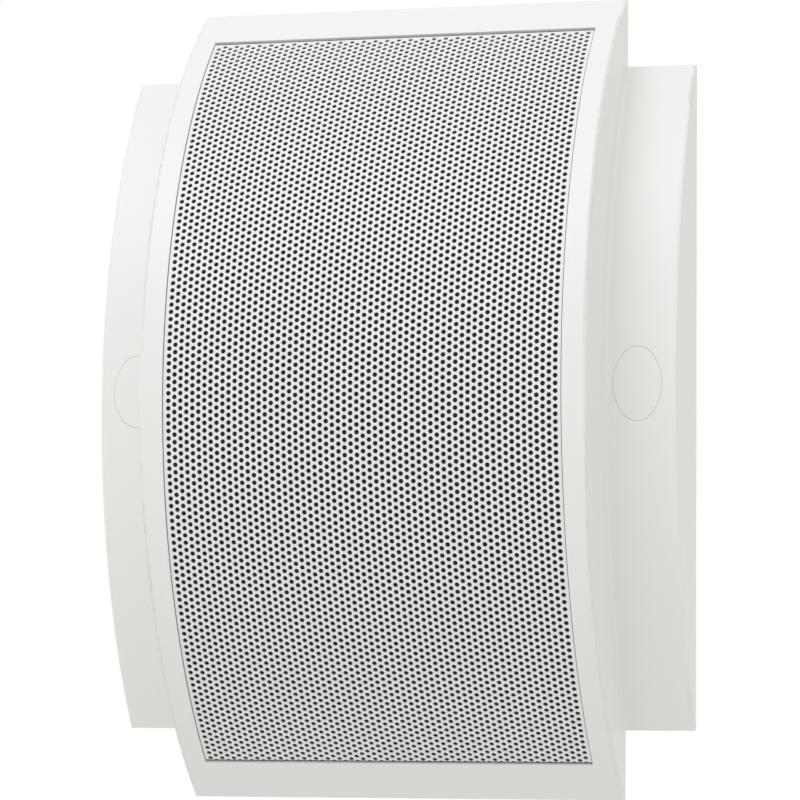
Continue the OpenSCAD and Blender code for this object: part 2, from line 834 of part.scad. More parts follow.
// A rubber ring that lines the leads' hole in the tray's wall
module lead_grommet() {
    color(black) hang() translate([0, tray_top, grommet_z]) rotate([-90, 0, 0]) difference() {
        union() {
            translate([0, 0, -grommet_lip])
                cylinder(d = grommet_d + 3, h = grommet_lip, $fn = small_fn);
            cylinder(d = grommet_d - 2 * slack, h = tray_wall, $fn = small_fn);
            translate([0, 0, tray_wall]) cylinder(d = grommet_d + 3, h = grommet_lip, $fn = small_fn);
        }
        translate([0, 0, -tray_d]) cylinder(d = grommet_bore_d, h = 2 * tray_d, $fn = small_fn);
    }
}

module transformer_core() {
    color(dark_steel) hang() translate([0, transformer_rise, core_z]) difference() {
        translate([-core_w / 2, -core_h / 2, 0]) cube([core_w, core_h, core_t]);
        both_sides()
            translate([leg_w / 2, -window_h / 2, -cut]) cube([window_w, window_h, core_t + 2 * cut]);
    }
}

module transformer_coil() {
    coil_w = leg_w + 2 * (window_w - coil_gap_side);
    coil_h = window_h - 2 * coil_gap_side;
    color(tan) hang() translate([0, transformer_rise, core_z]) difference() {
        translate([-coil_w / 2, -coil_h / 2, -coil_over]) cube([coil_w, coil_h, core_t + 2 * coil_over]);
        translate([-leg_w / 2 - slack, -coil_h, -slack])
            cube([leg_w + 2 * slack, 2 * coil_h, core_t + 2 * slack]);
    }
}

// A strap round three sides of the stack, with a foot at each side
module transformer_bracket() {
    color(steel) hang() translate([0, transformer_rise, core_z]) difference() {
        union() {
            translate([-core_w / 2 - bracket_t, -core_h / 2, 0])
                cube([core_w + 2 * bracket_t, core_h + bracket_t, core_t]);
            translate([-foot_x - foot_w / 2, -foot_h / 2, 0])
                cube([2 * foot_x + foot_w, foot_h, bracket_t]);
        }
        translate([-core_w / 2, -core_h / 2 - cut, -cut])
            cube([core_w, core_h + cut, core_t + 2 * cut]);
        for (x = [-foot_x, foot_x])
            translate([x, 0, -cut]) cylinder(d = pilot_d + 0.6, h = 2 * cut + bracket_t, $fn = small_fn);
    }
}

module transformer_screws() {
    color(steel) hang()
        for (x = [-foot_x, foot_x])
            translate([x, transformer_rise, core_z + bracket_t]) pan_screw(boss_h + bracket_t);
}

// Points of the two line leads: across, up and out from the wall. Both leave the coil's rear
// side, run down the rear panel beside the magnet, and turn in to the grommet.
lead_low = panel_t + wire_d / 2 + 3 * slack;
coil_bottom = transformer_rise - window_h / 2 + coil_gap_side;
clamp_z = tray_d - block_t / 2 + 1;
red_route = [
    [9, coil_bottom - 3 * slack, 4.2], [9, coil_bottom - 5.8, 4.2],
    [15, coil_bottom - 11.8, 4.1], [32, coil_bottom - 13.8, lead_low],
    [46, coil_bottom - 17.8, lead_low], [52, coil_bottom - 27.8, lead_low],
    [53, 20, lead_low], [53, -20, lead_low], [51, tray_top + 25, lead_low],
    [41, tray_top + 11, 5], [22, tray_top + 8, 8], [7, tray_top + 7.5, grommet_z],
    [1.6, tray_top + 5, grommet_z], [1.25, tray_top + 1, grommet_z],
    [1.25, tray_top - 2, grommet_z], [pole_step / 2, tray_top - 8, clamp_z],
    [pole_step / 2, block_h / 4 - tray_drop, clamp_z]
];
black_route = [
    [5, coil_bottom - 3 * slack, 4.2], [5, coil_bottom - 7.8, 4.2],
    [12, coil_bottom - 15.8, 4.1], [30, coil_bottom - 17.8, lead_low],
    [42, coil_bottom - 21.8, lead_low], [47, coil_bottom - 31.8, lead_low],
    [48, 20, lead_low], [48, -20, lead_low], [46, tray_top + 29, lead_low],
    [37, tray_top + 17, 5], [20, tray_top + 14, 8], [4, tray_top + 13.5, grommet_z],
    [-1, tray_top + 9, grommet_z], [-1.25, tray_top + 1, grommet_z],
    [-1.25, tray_top - 2, grommet_z], [-pole_step / 2, tray_top - 8, clamp_z],
    [-pole_step / 2, block_h / 4 - tray_drop, clamp_z]
];

module line_lead_red() {
    color([0.7, 0.1, 0.1]) hang() wire(curve(red_route, 4), wire_d);
}

module line_lead_black() {
    color(black) hang() wire(curve(black_route, 4), wire_d);
}

// Two short leads from the transformer to the driver's tags
module driver_leads() {
    tag_top = ledge_z + strip_t + tag_t + wire_d / 2;
    color(black) hang() both_sides()
        wire(curve([
            [tag_x, coil_bottom - 3 * slack, core_z + core_t + 2],
            [tag_x, coil_bottom - 6, core_z + core_t + 3],
            [tag_x, tag_to + 0.4 * (coil_bottom - 6 - tag_to), tag_top + 2],
            [tag_x, tag_to, tag_top + 0.6],
            [tag_x, tag_to - 4, tag_top]
        ], 4), wire_d);
}

front_housing();
grille();
grille_cloth();
screw_plug_left();
screw_plug_right();
driver_gasket();
driver_basket();
driver_screws();
cone_surround();
cone();
dust_cap();
voice_coil();
spider();
top_plate();
magnet();
yoke();
tag_strip();
solder_tags();
tinsel_leads();
rear_panel();
rear_screws();
terminal_block();
terminal_clamps();
terminal_screws();
block_screws();
lead_grommet();
transformer_core();
transformer_coil();
transformer_bracket();
transformer_screws();
line_lead_red();
line_lead_black();
driver_leads();
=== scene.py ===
# %% [markdown]
# # A wall speaker with a curved front
# This notebook dresses a wall speaker: a white moulded front that bulges from the wall, an ear at
# each side with an oval plug over a wall screw, and a perforated steel grille. The solid model is
# loaded first as a fixed frame. Each cell then adds one piece or one finish to it.
#
# Millimetres are the maker's unit, and Blender works in metres, so sizes are written as a number
# times MM.

# %% Load the model
import math

import bmesh
import bpy
from mathutils import Euler, Matrix, Vector
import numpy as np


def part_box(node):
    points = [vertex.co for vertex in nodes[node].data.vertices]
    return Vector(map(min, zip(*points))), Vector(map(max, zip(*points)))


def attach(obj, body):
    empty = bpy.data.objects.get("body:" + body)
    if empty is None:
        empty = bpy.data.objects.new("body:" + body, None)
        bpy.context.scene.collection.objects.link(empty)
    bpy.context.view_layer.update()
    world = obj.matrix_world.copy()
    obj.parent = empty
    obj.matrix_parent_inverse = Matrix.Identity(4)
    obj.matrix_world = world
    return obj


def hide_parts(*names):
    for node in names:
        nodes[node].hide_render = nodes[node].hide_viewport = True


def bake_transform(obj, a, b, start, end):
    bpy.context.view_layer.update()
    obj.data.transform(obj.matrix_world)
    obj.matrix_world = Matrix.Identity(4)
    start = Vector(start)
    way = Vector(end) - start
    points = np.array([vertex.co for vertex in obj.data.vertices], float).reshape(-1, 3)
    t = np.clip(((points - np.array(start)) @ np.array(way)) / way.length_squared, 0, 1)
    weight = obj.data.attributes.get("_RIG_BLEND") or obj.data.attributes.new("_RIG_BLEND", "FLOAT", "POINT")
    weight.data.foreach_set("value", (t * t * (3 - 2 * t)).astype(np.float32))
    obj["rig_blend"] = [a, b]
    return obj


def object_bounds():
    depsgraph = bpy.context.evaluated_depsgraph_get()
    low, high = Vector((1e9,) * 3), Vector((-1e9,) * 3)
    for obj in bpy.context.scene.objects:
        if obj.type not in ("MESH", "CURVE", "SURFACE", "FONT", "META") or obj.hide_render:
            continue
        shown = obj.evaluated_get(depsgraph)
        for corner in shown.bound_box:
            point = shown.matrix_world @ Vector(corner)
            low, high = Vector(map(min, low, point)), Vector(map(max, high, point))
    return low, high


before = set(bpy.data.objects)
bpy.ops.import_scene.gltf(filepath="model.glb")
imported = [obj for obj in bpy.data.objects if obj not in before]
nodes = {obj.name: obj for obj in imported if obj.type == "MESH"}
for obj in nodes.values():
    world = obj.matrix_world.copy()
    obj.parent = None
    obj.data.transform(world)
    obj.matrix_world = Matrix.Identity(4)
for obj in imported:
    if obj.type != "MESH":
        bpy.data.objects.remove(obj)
bpy.context.view_layer.update()
model_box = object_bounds()
MM = 0.001
box_in_mm = [round(x / MM, 1) for corner in model_box for x in corner]
print("the model holds", len(nodes), "pieces, and its box is", box_in_mm)

# %% [markdown]
# ## The sizes that the curves share
# The front is part of a cylinder that lies on its side, with its axis behind the wall. Three
# sizes fix it: its height, its depth at the middle and its thickness at the two ends. An arc's
# radius follows from half its length and its rise, so nothing else is typed in.

# %% Work out the curve of the front
FRONT_HEIGHT = 274 * MM
FRONT_DEPTH = 72 * MM
FRONT_EDGE = 1.8 * MM
SIDE_BAND = 8 * MM
TOP_BAND = 19.7 * MM
BOTTOM_BAND = 18.5 * MM
FRONT_WIDTH = 151 * MM


def arc_radius(half, rise):
    """The radius of an arc from its half length and its rise."""
    return (half * half + rise * rise) / (2 * rise)


front_radius = arc_radius(FRONT_HEIGHT / 2, FRONT_DEPTH - FRONT_EDGE)
axis_depth = front_radius - FRONT_DEPTH
front_half = math.asin(FRONT_HEIGHT / 2 / front_radius) * front_radius
opening_top = front_half - TOP_BAND
opening_bottom = BOTTOM_BAND - front_half
print("front radius", round(front_radius / MM, 2), "mm")
print("its axis lies", round(axis_depth / MM, 2), "mm behind the wall")


# %% [markdown]
# ## The camera
# The photograph was taken from a little below the speaker and from its right, with a long lens.
# The place and the angles come from fitting the corners of the front, the ears and the rows of
# holes. Yaw turns the camera to the left, pitch lifts it, and roll tips it by half a degree.

# %% Place the camera
CAMERA_PLACE = Vector((313.4, -1265.2, -135.3)) * MM
CAMERA_YAW = 14.09
CAMERA_PITCH = 5.92
CAMERA_ROLL = 0.55
CAMERA_LENS = 170.66

camera = bpy.data.objects.new("camera", bpy.data.cameras.new("camera"))
bpy.context.scene.collection.objects.link(camera)
bpy.context.scene.camera = camera
turn = Euler((math.radians(90 + CAMERA_PITCH), 0, math.radians(CAMERA_YAW))).to_matrix()
roll = Euler((0, 0, math.radians(CAMERA_ROLL))).to_matrix()
camera.matrix_world = Matrix.Translation(CAMERA_PLACE) @ (turn @ roll).to_4x4()
camera.data.lens = CAMERA_LENS
camera.data.clip_start = 0.05
camera.data.clip_end = 30
print("camera", round(CAMERA_PLACE.length, 3), "m from the speaker, lens", CAMERA_LENS, "mm")

# %% [markdown]
# ## Light and floor
# The photograph has very soft light, a little stronger and cooler from the upper left, and a
# white background with no shadow. One large area lamp gives that direction, and the world fills
# the rest. A wall speaker has a wall behind it, so less light comes from the rear: without that,
# the outer sides of the ears would be too bright. The floor lies well below, as the speaker hangs.

# %% Light the speaker
WORLD_STRENGTH = 0.905
WALL_SHADE = 0.62
FLOOR_HEIGHT = -1.5
FLOOR_SIZE = 24.0
LAMP_COLOUR = (0.86, 0.89, 1.0)
WORLD_COLOUR = (0.985, 0.975, 0.95)


def lamp(name, place, size, power):
    """A square area lamp that faces the speaker."""
    light = bpy.data.objects.new(name, bpy.data.lights.new(name, "AREA"))
    bpy.context.scene.collection.objects.link(light)
    light.location = place
    light.rotation_euler = (-Vector(place)).to_track_quat("-Z", "Y").to_euler()
    light.data.size = size
    light.data.energy = power
    light.data.color = LAMP_COLOUR
    return light


lamp("key_lamp", (-0.8, -1.9, 2.2), 1.4, 17)

scene = bpy.context.scene
scene.view_settings.view_transform = "Standard"
world = bpy.data.worlds.new("studio")
scene.world = world
world.use_nodes = True


# %% [markdown]
# ## Shader sums in plain Python
# A finish is a small network of nodes. Written out one node at a time it is long and hard to
# read, so one class wraps a socket: an expression such as `1 - mask * 0.5` adds the Math nodes
# that it needs, and one method makes any other node from its type, settings and sockets.

# %% Define the wrapped socket
class Thread:
    """An output socket of a node tree that can be used in sums."""

    def __init__(self, tree, socket=None):
        self.tree = tree
        self.socket = socket

    def node(self, kind, settings=None, sockets=None, out=0):
        """Makes a node. Its settings come first, then its sockets get values or links."""
        made = self.tree.nodes.new("ShaderNode" + kind)
        for name, value in (settings or {}).items():
            setattr(made, name, value)
        for name, value in (sockets or {}).items():
            self.plug(made.inputs[name], value)
        return Thread(self.tree, made.outputs[out])

    def plug(self, place, value):
        """Links a thread to a socket, or sets the socket to a number or colour."""
        if isinstance(value, Thread):
            self.tree.links.new(value.socket, place)
        elif place.type == "RGBA" and len(value) == 3:
            place.default_value = (*value, 1.0)
        else:
            place.default_value = value

    def sum(self, operation, *values):
        """A Math node of that operation."""
        return self.node("Math", {"operation": operation}, dict(enumerate(values)))

    def __add__(self, other):
        return self.sum("ADD", self, other)

    def __radd__(self, other):
        return self.sum("ADD", other, self)

    def __sub__(self, other):
        return self.sum("SUBTRACT", self, other)

    def __rsub__(self, other):
        return self.sum("SUBTRACT", other, self)

    def __mul__(self, other):
        return self.sum("MULTIPLY", self, other)

    def __rmul__(self, other):
        return self.sum("MULTIPLY", other, self)

    def __pow__(self, other):
        return self.sum("POWER", self, other)

    def __gt__(self, other):
        return self.sum("GREATER_THAN", self, other)

    def sin(self):
        """The sine of the value, in radians."""
        return self.sum("SINE", self)

    def abs(self):
        """The value without its sign."""
        return self.sum("ABSOLUTE", self)

    def noise(self, size, detail=2.0, rough=0.5):
        """Cloudy noise from this place, whose patches are about that size in metres."""
        looks = {"Vector": self, "Scale": 1 / size, "Detail": detail, "Roughness": rough}
        return self.node("TexNoise", {}, looks)

    def axes(self):
        """The three numbers of a place."""
        split = self.node("SeparateXYZ", {}, {"Vector": self})
        return [Thread(self.tree, o) for o in split.socket.node.outputs]

    def blend(self, low, high):
        """A colour between low, where this value is 0, and high, where it is 1."""
        return self.node(
            "Mix", {"data_type": "RGBA"}, {"Factor": self, 6: low, 7: high}, out=2
        )

    def bump(self, depth):
        """A surface normal that follows this value as height, depth metres for each 1."""
        looks = {"Height": self, "Distance": depth}
        return self.node("Bump", {}, looks, out="Normal")


print("a thread knows", len([n for n in vars(Thread) if not n.startswith("__")]), "named methods")

# %% [markdown]
# ## The world and the floor
# Light Path tells which kind of ray asks for the colour. Camera, glossy and transmission rays get
# plain white, so the background is white and no extra light falls on the speaker. Every other ray
# gets the softer level that lights it, weaker the more the ray points to the rear.

# %% Finish the world and lay the floor
sky = Thread(world.node_tree)
kinds = ("Is Camera Ray", "Is Glossy Ray", "Is Transmission Ray")
seen = [sky.node("LightPath", out=kind) for kind in kinds]
direct = sky.sum("MAXIMUM", seen[0], sky.sum("MAXIMUM", seen[1], seen[2]))
background = world.node_tree.nodes["Background"]
sky.plug(background.inputs["Color"], direct.blend(WORLD_COLOUR, (1, 1, 1)))
_, rearward, _ = sky.node("TexCoord", out="Generated").axes()
soft = WORLD_STRENGTH - WALL_SHADE * sky.sum("MAXIMUM", rearward, 0.0)
sky.plug(background.inputs["Strength"], soft * (1 - direct) + direct)
rear_strength = round(WORLD_STRENGTH - WALL_SHADE, 2)
print("the world lights the front at", WORLD_STRENGTH, "and the rear at", rear_strength)


def new_finish(name):
    """A material with its shader, and a thread to start its network from."""
    material = bpy.data.materials.new(name)
    material.use_nodes = True
    shader = material.node_tree.nodes["Principled BSDF"]
    return material, shader, Thread(material.node_tree)


def settle(material, shader, **sockets):
    """Gives the shader its colours, numbers and links."""
    start = Thread(material.node_tree)
    for name, value in sockets.items():
        start.plug(shader.inputs[name.replace("_", " ")], value)
    return material


bm = bmesh.new()
bmesh.ops.create_grid(bm, x_segments=1, y_segments=1, size=FLOOR_SIZE / 2)
bmesh.ops.translate(bm, verts=bm.verts, vec=(0, 0, FLOOR_HEIGHT))
floor = bpy.data.objects.new("floor", bpy.data.meshes.new("floor"))
bm.to_mesh(floor.data)
bm.free()
scene.collection.objects.link(floor)
material, shader, draw = new_finish("pale_floor")
cloud = draw.node("TexCoord", out="Object").noise(0.4)
floor.data.materials.append(
    settle(material, shader, Base_Color=cloud.blend((0.86, 0.86, 0.86), (0.9, 0.9, 0.9)), Roughness=0.9)
)
print("floor at", FLOOR_HEIGHT, "m")

# %% [markdown]
# ## Moulded plastic
# The front, its plugs and the rear panel are moulded from white ABS. A mould for such parts is
# spark-eroded, which leaves a fine grain all over that makes the gloss soft. The colour drifts
# very slightly, because the pigment isn't spread evenly. Noise at two sizes gives both.

# %% Make the moulded finishes
GRAIN_SIZE = 0.5 * MM
GRAIN_DEPTH = 0.012 * MM


def moulded(name, pale, deep, gloss=0.42, grain=GRAIN_SIZE, depth=GRAIN_DEPTH):
    """Grained plastic whose colour drifts between two near shades."""
    material, shader, draw = new_finish(name)
    place = draw.node("TexCoord", out="Object")
    drift = place.noise(60 * MM, detail=3)
    fine = place.noise(grain, detail=2)
    return settle(
        material,
        shader,
        Base_Color=drift.blend(deep, pale),
        Roughness=gloss + (fine - 0.5) * 0.12,
        Normal=fine.bump(depth),
    )


white_moulding = moulded("white_moulding", (0.91, 0.90, 0.885), (0.90, 0.89, 0.87))
block_plastic = moulded(
    "block_plastic", (0.80, 0.79, 0.74), (0.76, 0.75, 0.70), 0.35, 1.2 * MM, 0.006 * MM
)
red_insulation = moulded(
    "red_insulation", (0.46, 0.030, 0.022), (0.40, 0.024, 0.018), 0.32, 2 * MM, 0.01 * MM
)
black_insulation = moulded(
    "black_insulation", (0.022, 0.022, 0.023), (0.017, 0.017, 0.018), 0.32, 2 * MM, 0.01 * MM
)
black_rubber = moulded(
    "black_rubber", (0.026, 0.026, 0.028), (0.020, 0.020, 0.022), 0.62, 0.35 * MM, 0.02 * MM
)
print("moulded finishes share a grain of", GRAIN_SIZE / MM, "mm")

# %% [markdown]
# ## Paint, cloth, foam and paper
# Powder coat melts into a skin with a slight orange peel. Foam has open pores, which a Voronoi pattern
# gives; the middle of each pore is painted darker as shade in the hollow. A cone is felted from paper pulp,
# so its fibres show as stretched noise, and it has pressed rings that stiffen it. A ring is a sine of the
# distance from the cone's axis.

# %% Make the painted, soft and pressed finishes
PEEL_SIZE = 1.1 * MM
PEEL_DEPTH = 0.018 * MM
PORE_SIZE = 0.55 * MM
RING_STEP = 5.5 * MM
CLOTH_THREAD = 0.8 * MM
DISC_THREAD = 0.9 * MM


def powder_coat():
    """White powder coat on the grille."""
    material, shader, draw = new_finish("white_powder_coat")
    place = draw.node("TexCoord", out="Object")
    peel = place.noise(PEEL_SIZE, detail=1)
    drift = place.noise(45 * MM)
    return settle(
        material,
        shader,
        Base_Color=drift.blend((0.865, 0.865, 0.855), (0.89, 0.89, 0.88)),
        Roughness=0.46 + (peel - 0.5) * 0.15,
        Normal=peel.bump(PEEL_DEPTH),
    )


def open_foam():
    """Grey-black foam with open pores, whose middles are painted darker as shade."""
    material, shader, draw = new_finish("open_foam")
    place = draw.node("TexCoord", out="Object")
    looks = {"Vector": place, "Scale": 1 / PORE_SIZE}
    pore = draw.node("TexVoronoi", {"feature": "F1"}, looks, out="Distance")
    # The colour is darker toward the middle of each pore: painted shade in the open hollows.
    return settle(
        material,
        shader,
        Base_Color=pore.blend((0.012, 0.012, 0.013), (0.06, 0.06, 0.062)),
        Roughness=0.95,
        Normal=pore.bump(0.15 * MM),
    )


def from_axis(place):
    """The distance from the driver's axis, which runs along Y through the middle."""
    across, _, up = place.axes()
    return (across * across + up * up) ** 0.5


def paper_pulp():
    """Black pulp with felted fibres and pressed rings."""
    material, shader, draw = new_finish("black_pulp")
    place = draw.node("TexCoord", out="Object")
    stretched = draw.node("Mapping", {}, {"Vector": place, "Scale": (1, 1, 3)}, out="Vector")
    fibre = stretched.noise(1.4 * MM, detail=5, rough=0.7)
    ring = (from_axis(place) * (2 * math.pi / RING_STEP)).sin()
    height = fibre * 0.25 + ring
    return settle(
        material,
        shader,
        Base_Color=fibre.blend((0.014, 0.014, 0.015), (0.06, 0.06, 0.064)),
        Roughness=0.82 + fibre * 0.12,
        Normal=height.bump(0.12 * MM),
    )


def acoustic_cloth():
    """A thin black weave, drawn on the cloth's own map so that it follows the curve."""
    material, shader, draw = new_finish("acoustic_cloth")
    across, along, _ = draw.node("TexCoord", out="UV").axes()
    turns = 2 * math.pi / CLOTH_THREAD
    warp = (across * turns).sin().abs()
    weft = (along * turns).sin().abs()
    weave = warp * weft
    return settle(
        material,
        shader,
        Base_Color=weave.blend((0.006, 0.006, 0.007), (0.035, 0.035, 0.038)),
        Roughness=0.9,
        Normal=weave.bump(0.1 * MM),
        Sheen_Weight=0.15,
    )


def varnished_cloth():
    """The tan centring disc: cotton weave stiffened with resin."""
    material, shader, draw = new_finish("varnished_cloth")
    place = draw.node("TexCoord", out="Object")
    across, _, up = place.axes()
    turns = 2 * math.pi / DISC_THREAD
    weave = (across * turns).sin() * (up * turns).sin() * 0.5 + 0.5
    stain = place.noise(9 * MM)
    shade = weave.blend((0.42, 0.25, 0.08), (0.58, 0.38, 0.15))
    multiply = {"data_type": "RGBA", "blend_type": "MULTIPLY"}
    stained = draw.node("Mix", multiply, {"Factor": stain * 0.5, 6: shade, 7: (0.75, 0.62, 0.45)}, out=2)
    return settle(
        material,
        shader,
        Base_Color=stained,
        Roughness=0.5 + stain * 0.2,
        Normal=weave.bump(0.06 * MM),
    )


grille_paint = powder_coat()
foam = open_foam()
pulp = paper_pulp()
cloth_weave = acoustic_cloth()
disc_cloth = varnished_cloth()
print("pressed rings are", RING_STEP / MM, "mm apart")

# %% [markdown]
# ## Metals
# Bare metal is a metallic shader whose roughness varies. Zinc plating is dull with faint cloudy
# spangles, brass is warmer, and the pressed basket is steel under black paint, so it isn't
# metallic at all. The transformer's core is a stack of thin sheets: a sine along the stack, cut
# to thin dark lines, shows their edges. The winding is a sine as well, at the wire's pitch.

# %% Make the metal and magnet finishes
SHEET_STEP = 0.5 * MM
WIRE_STEP = 0.28 * MM
WINDING_HALF = 4.2 * MM
TAPE_LAP = 6.5 * MM
plate_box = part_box("top_plate")
WINDING_MIDDLE = -(plate_box[0].y + plate_box[1].y) / 2


def bare_metal(name, dull, bright, gloss, patch=6 * MM):
    """Plated or solid metal with cloudy patches and fine drawing lines."""
    material, shader, draw = new_finish(name)
    place = draw.node("TexCoord", out="Object")
    cloud = place.noise(patch, detail=4)
    stretched = draw.node("Mapping", {}, {"Vector": place, "Scale": (1, 8, 1)}, out="Vector")
    drawn = stretched.noise(0.8 * MM)
    return settle(
        material,
        shader,
        Base_Color=cloud.blend(dull, bright),
        Metallic=1.0,
        Roughness=gloss + cloud * 0.14 + (drawn - 0.5) * 0.1,
        Normal=drawn.bump(0.004 * MM),
    )


def black_paint():
    """Semi-gloss black paint on pressed steel."""
    material, shader, draw = new_finish("black_paint")
    place = draw.node("TexCoord", out="Object")
    peel = place.noise(1.6 * MM)
    return settle(
        material,
        shader,
        Base_Color=peel.blend((0.016, 0.016, 0.018), (0.026, 0.026, 0.028)),
        Roughness=0.34 + peel * 0.1,
        Normal=peel.bump(0.012 * MM),
        Coat_Weight=0.2,
    )


def sintered_ferrite():
    """Dark grey sintered ferrite with ground faces and small pits."""
    material, shader, draw = new_finish("sintered_ferrite")
    place = draw.node("TexCoord", out="Object")
    speck = place.noise(0.7 * MM, detail=6, rough=0.7)
    pit = place.noise(3 * MM, detail=3) > 0.66
    return settle(
        material,
        shader,
        Base_Color=speck.blend((0.022, 0.022, 0.025), (0.07, 0.07, 0.075)),
        Roughness=0.5 + speck * 0.25,
        Normal=(speck - pit * 0.6).bump(0.03 * MM),
    )


def laminations():
    """The edges of stacked steel sheets under thin varnish."""
    material, shader, draw = new_finish("steel_laminations")
    place = draw.node("TexCoord", out="Object")
    _, along, _ = place.axes()
    edge = (along * (math.pi / SHEET_STEP) + math.pi / 2).sin().abs() ** 0.4
    rust = place.noise(5 * MM, detail=5, rough=0.65)
    steel = rust.blend((0.30, 0.31, 0.34), (0.20, 0.17, 0.15))
    return settle(
        material,
        shader,
        Base_Color=edge.blend((0.02, 0.02, 0.022), steel),
        Metallic=0.85,
        Roughness=0.42 + rust * 0.2,
        Normal=edge.bump(0.05 * MM),
    )


def wound_coil():
    """The voice coil: copper turns in the middle of a brown paper former."""
    material, shader, draw = new_finish("wound_coil")
    place = draw.node("TexCoord", out="Object")
    _, along, _ = place.axes()
    off_centre = (along + WINDING_MIDDLE).abs()
    former = off_centre > WINDING_HALF
    turns = (along * (2 * math.pi / WIRE_STEP)).sin() * (1 - former)
    fibre = place.noise(1.0 * MM, detail=4)
    paper = fibre.blend((0.20, 0.11, 0.045), (0.32, 0.19, 0.085))
    return settle(
        material,
        shader,
        Base_Color=former.blend((0.60, 0.24, 0.10), paper),
        Metallic=0.9 - former * 0.9,
        Roughness=0.28 + former * 0.5,
        Normal=turns.bump(0.05 * MM),
    )


def taped_winding():
    """The transformer's winding under yellow polyester tape, lapped at each turn."""
    material, shader, draw = new_finish("taped_winding")
    place = draw.node("TexCoord", out="Object")
    _, along, up = place.axes()
    lap = ((up + along * 0.15) * (2 * math.pi / TAPE_LAP)).sin()
    wrinkle = place.noise(4 * MM, detail=3)
    step = lap > 0
    return settle(
        material,
        shader,
        Base_Color=step.blend((0.60, 0.42, 0.055), (0.66, 0.49, 0.09)),
        Roughness=0.22 + wrinkle * 0.15,
        Normal=(step * 0.5 + wrinkle).bump(0.12 * MM),
    )


def pressed_laminate():
    """Brown paper laminate, with fibres and a hard semi-gloss face."""
    material, shader, draw = new_finish("pressed_laminate")
    place = draw.node("TexCoord", out="Object")
    stretched = draw.node("Mapping", {}, {"Vector": place, "Scale": (4, 1, 1)}, out="Vector")
    fibre = stretched.noise(2 * MM, detail=5, rough=0.7)
    return settle(
        material,
        shader,
        Base_Color=fibre.blend((0.15, 0.065, 0.022), (0.27, 0.13, 0.05)),
        Roughness=0.36 + fibre * 0.1,
        Normal=fibre.bump(0.01 * MM),
    )


zinc_plate = bare_metal("zinc_plate", (0.52, 0.54, 0.57), (0.70, 0.71, 0.72), 0.26)
tinned_brass = bare_metal("tinned_brass", (0.62, 0.46, 0.20), (0.76, 0.62, 0.34), 0.24)
basket_paint = black_paint()
ferrite = sintered_ferrite()
core_steel = laminations()
coil_turns = wound_coil()
winding_tape = taped_winding()
laminate = pressed_laminate()
print("the winding lies", round(WINDING_MIDDLE / MM, 1), "mm from the wall")

# %% [markdown]
# ## Dress the pieces of the model
# Most pieces of the solid model already have their true shape, so they stay and only take a
# finish. The soft pieces, the wires, the larger screws and the grille are made new further down,
# and hide theirs.

# %% Give each piece of the model its finish
DRESSED = {
    white_moulding: ("front_housing", "screw_plug_left", "screw_plug_right", "rear_panel"),
    grille_paint: ("grille",),
    cloth_weave: ("grille_cloth",),
    foam: ("driver_gasket",),
    black_rubber: ("cone_surround", "lead_grommet"),
    basket_paint: ("driver_basket",),
    pulp: ("cone", "dust_cap"),
    disc_cloth: ("spider",),
    coil_turns: ("voice_coil",),
    ferrite: ("magnet",),
    laminate: ("tag_strip",),
    tinned_brass: ("solder_tags", "terminal_clamps", "tinsel_leads"),
    block_plastic: ("terminal_block",),
    core_steel: ("transformer_core",),
    winding_tape: ("transformer_coil",),
    red_insulation: ("line_lead_red",),
    black_insulation: ("line_lead_black", "driver_leads"),
    zinc_plate: (
        "driver_screws", "top_plate", "yoke", "rear_screws", "terminal_screws",
        "block_screws", "transformer_bracket", "transformer_screws",
    ),
}

for finish, names in DRESSED.items():
    for name in names:
        mesh = nodes[name].data
        mesh.materials.clear()
        mesh.materials.append(finish)
print(sum(len(names) for names in DRESSED.values()), "of", len(nodes), "pieces of the model are dressed")


# %% [markdown]
# ## How a new piece joins the model
# Each new piece is a bmesh that turns into an object at the origin, with its place in its mesh.
# It then rides on its body, takes its finish, and hides the piece that it stands for. Faces smooth into one
# another unless they meet at more than a given angle.

# %% Define the last step of every new piece
def finish_piece(bm, name, material, stands_for, body="housing", sharp=35.0):
    """Turns a bmesh into a piece of the speaker."""
    for face in bm.faces:
        face.smooth = True
    mesh = bpy.data.meshes.new(name)
    bm.to_mesh(mesh)
    bm.free()
    mesh.set_sharp_from_angle(angle=math.radians(sharp))
    mesh.materials.append(material)
    piece = bpy.data.objects.new(name, mesh)
    scene.collection.objects.link(piece)
    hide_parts(*stands_for)
    if body:
        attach(piece, body)
    triangles = sum(len(face.vertices) - 2 for face in mesh.polygons)
    print(name, "has", triangles, "triangles")
    return piece


def everything(bm):
    """All the points, edges and faces of a bmesh."""
    return bm.verts[:] + bm.edges[:] + bm.faces[:]


def points_of(parts):
    """The points among some parts of a bmesh."""
    return [part for part in parts if isinstance(part, bmesh.types.BMVert)]


def roll_up(bm, radius):
    """Rolls flat metal or cloth onto the front's curve: X stays, Y becomes the arc, Z its height."""
    for point in bm.verts:
        across, along, out = point.co
        angle = along / radius
        reach = radius + out
        point.co = (across, axis_depth - reach * math.cos(angle), reach * math.sin(angle))


# %% [markdown]
# ## The perforated grille
# The real grille is a steel sheet punched with about seven thousand round holes in staggered
# columns, rolled to the front's curve and powder coated. A texture could fake the holes, but they
# are cut here, so that light and shade in them are real.
#
# One cell of the pattern is a plate with one hole. Copying everything and moving the copy doubles
# the pattern, so seven doublings give a column of 128 and five more give 32 columns. Every second
# column sits half a step higher. Holes that would break the top edge are closed again, two planes
# trim the ends, and the sheet is made in two halves that meet on the middle line, so that each
# stays light enough.

